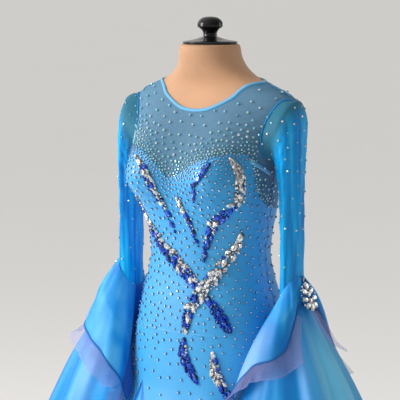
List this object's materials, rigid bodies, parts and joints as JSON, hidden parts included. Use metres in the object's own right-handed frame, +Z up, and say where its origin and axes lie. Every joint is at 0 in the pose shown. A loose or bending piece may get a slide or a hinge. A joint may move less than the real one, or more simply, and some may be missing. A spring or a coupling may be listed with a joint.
{
  "type": "long-sleeved ballroom dance dress on a limbless dress form with a stand",
  "caption": "Long ballroom dance dress with a sheer yoke and sleeves, wide elbow floats, a fluted skirt and raised stone sprays, worn by a limbless dress form on a pole stand.",
  "frame": {"origin": "middle of the stand foot's underside, on the floor under the pole", "axes": "+Z up, the dress faces -Y, the wearer's left is +X"},
  "size_m": [0.9941, 0.9305, 1.5213],
  "materials": {
    "jersey": "matt knitted cover",
    "lacquer": "black gloss lacquer on turned wood",
    "steel": "satin black",
    "crepe": "matt stretch crepe",
    "mesh": "sheer stretch mesh",
    "elastic": "satin-faced elastic",
    "organza": "crisp sheer organza",
    "horsehair": "open nylon braid",
    "crystal": "faceted stones set close on a cloth backing"
  },
  "bodies": {
    "root": {"form_torso": "jersey", "form_neck_cap": "lacquer", "form_neck_knob": "lacquer", "form_bottom_plate": "lacquer", "stand_collar": "steel", "stand_pole": "steel", "stand_foot": "steel", "bodice_front": "crepe", "bodice_back_left": "crepe", "bodice_back_right": "crepe", "yoke_front": "mesh", "yoke_back_left": "mesh", "yoke_back_right": "mesh", "neck_binding": "elastic", "sleeve_left": "mesh", "sleeve_right": "mesh", "float_wrap_left": "organza", "float_fall_left": "organza", "crin_band_left": "horsehair", "crin_tail_left": "horsehair", "brooch_left": "crystal", "float_wrap_right": "organza", "float_fall_right": "organza", "crin_band_right": "horsehair", "crin_tail_right": "horsehair", "brooch_right": "crystal", "skirt_gore_1": "crepe", "skirt_godet_1": "organza", "skirt_gore_2": "crepe", "skirt_godet_2": "organza", "skirt_gore_3": "crepe", "skirt_godet_3": "organza", "skirt_gore_4": "crepe", "skirt_godet_4": "organza", "skirt_gore_5": "crepe", "skirt_godet_5": "organza", "skirt_gore_6": "crepe", "skirt_godet_6": "organza", "spray_right_bust": "crystal", "spray_left_bust_arc": "crystal", "spray_midriff": "crystal", "spray_left_bust": "crystal", "spray_right_waist": "crystal", "spray_left_hip": "crystal", "spray_left_waist": "crystal", "spray_skirt_front": "crystal", "spray_skirt_left": "crystal"}
  },
  "joints": []
}
